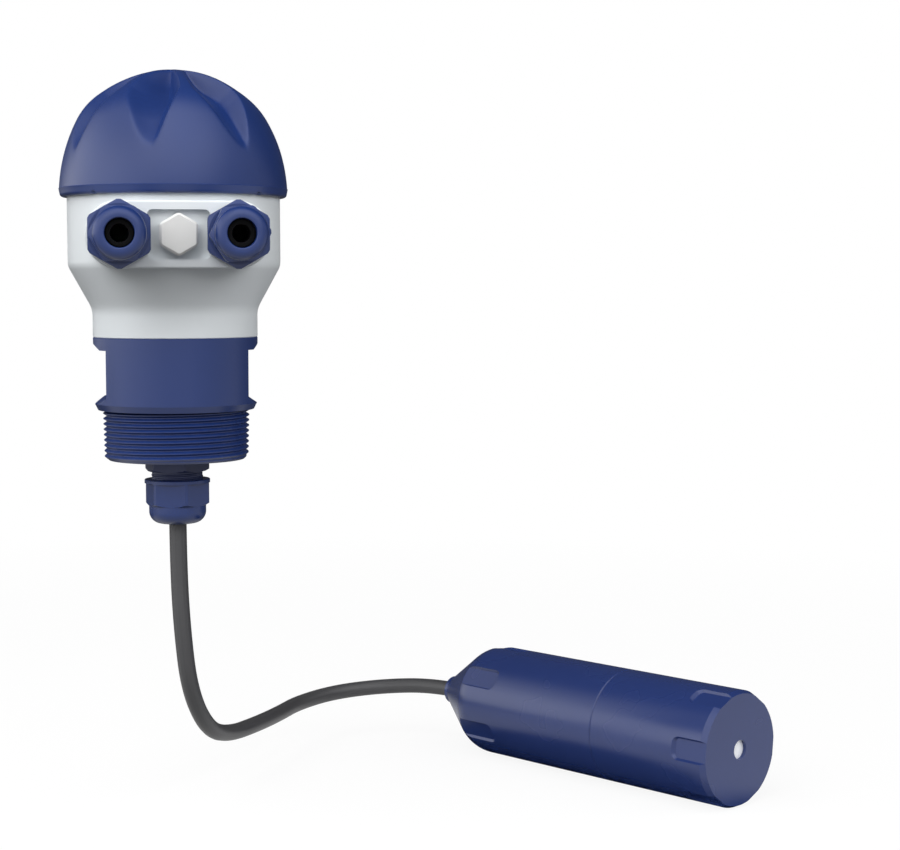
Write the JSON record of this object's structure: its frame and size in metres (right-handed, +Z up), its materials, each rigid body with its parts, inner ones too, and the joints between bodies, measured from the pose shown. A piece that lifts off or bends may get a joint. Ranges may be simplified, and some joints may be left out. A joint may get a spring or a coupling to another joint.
{
  "type": "submersible level sensor",
  "caption": "Connection head with a scooped screw cap, cable glands and a taper pipe thread, joined by a cable to a cylindrical submersible level probe.",
  "frame": {"origin": "On the head's axis, at the flange's underside where the pipe thread starts.", "axes": "+Z up along the head's axis, -Y out of the front glands, +X to the viewer's right."},
  "size_m": [0.3005, 0.208, 0.31],
  "materials": {
    "blue_plastic": "satin moulded",
    "white_plastic": "satin moulded",
    "dark_plastic": "satin moulded",
    "black_rubber": "matte",
    "cable_jacket": "satin extruded",
    "board_laminate": "solder mask",
    "terminal_plastic": "moulded",
    "white_ceramic": "ground ceramic",
    "red_insulation": "extruded",
    "black_insulation": "extruded",
    "clear_tube": "extruded"
  },
  "bodies": {
    "sensor_body": {"process_adapter": "blue_plastic", "adapter_o_ring": "black_rubber", "housing": "white_plastic", "vent_plug": "white_plastic", "vent_o_ring": "black_rubber", "terminal_board": "board_laminate", "terminal_block_left": "terminal_plastic", "terminal_block_right": "terminal_plastic", "probe_rear_body": "blue_plastic", "probe_front_body": "blue_plastic", "probe_o_ring": "black_rubber", "pressure_cell": "white_ceramic", "cell_o_ring": "black_rubber", "cell_retaining_ring": "dark_plastic", "probe_board": "board_laminate", "signal_module": "black_insulation", "cell_ribbon": "clear_tube", "probe_cable_seal": "black_rubber", "probe_cable_clamp": "dark_plastic", "sensor_cable": "cable_jacket", "cable_head_end": "cable_jacket", "cable_probe_end": "cable_jacket", "supply_core": "red_insulation", "signal_core": "black_insulation", "air_tube": "clear_tube", "left_gland_body": "blue_plastic", "left_gland_gasket": "black_rubber", "right_gland_body": "blue_plastic", "right_gland_gasket": "black_rubber", "bottom_gland_body": "dark_plastic", "bottom_gland_gasket": "black_rubber"},
    "cap_ring": {"cap_o_ring": "black_rubber"},
    "cap": {"dome_cap": "blue_plastic"},
    "left_seal": {"left_gland_seal": "black_rubber"},
    "left_nut": {"left_gland_nut": "blue_plastic"},
    "right_seal": {"right_gland_seal": "black_rubber"},
    "right_nut": {"right_gland_nut": "blue_plastic"},
    "bottom_seal": {"bottom_gland_seal": "black_rubber"},
    "bottom_nut": {"bottom_gland_nut": "blue_plastic"}
  },
  "joints": [
    {"name": "cap_turn", "type": "hinge", "parent": "sensor_body", "child": "cap_ring", "pos_m": [0, 0, 0.0893], "axis": [0, 0, 1], "range_deg": [0, 900]},
    {"name": "cap_lift", "type": "slide", "parent": "cap_ring", "child": "cap", "axis": [0, 0, 1], "range_m": [0, 0.01]},
    {"name": "left_nut_turn", "type": "hinge", "parent": "sensor_body", "child": "left_seal", "pos_m": [-0.0229, -0.06, 0.0708], "axis": [0, -1, 0], "range_deg": [0, 1080]},
    {"name": "left_nut_travel", "type": "slide", "parent": "left_seal", "child": "left_nut", "axis": [0, -1, 0], "range_m": [0, 0.0045]},
    {"name": "right_nut_turn", "type": "hinge", "parent": "sensor_body", "child": "right_seal", "pos_m": [0.0229, -0.06, 0.0708], "axis": [0, -1, 0], "range_deg": [0, 1080]},
    {"name": "right_nut_travel", "type": "slide", "parent": "right_seal", "child": "right_nut", "axis": [0, -1, 0], "range_m": [0, 0.0045]},
    {"name": "bottom_nut_turn", "type": "hinge", "parent": "sensor_body", "child": "bottom_seal", "pos_m": [0, 0, -0.036], "axis": [0, 0, -1], "range_deg": [0, 1080]},
    {"name": "bottom_nut_travel", "type": "slide", "parent": "bottom_seal", "child": "bottom_nut", "axis": [0, 0, -1], "range_m": [0, 0.0045]}
  ],
  "couplings": [
    {"joint": "cap_lift", "follows": "cap_turn", "m_per_rad": 0.0006366},
    {"joint": "left_nut_travel", "follows": "left_nut_turn", "m_per_rad": 0.00023873},
    {"joint": "right_nut_travel", "follows": "right_nut_turn", "m_per_rad": 0.00023873},
    {"joint": "bottom_nut_travel", "follows": "bottom_nut_turn", "m_per_rad": 0.00023873}
  ]
}
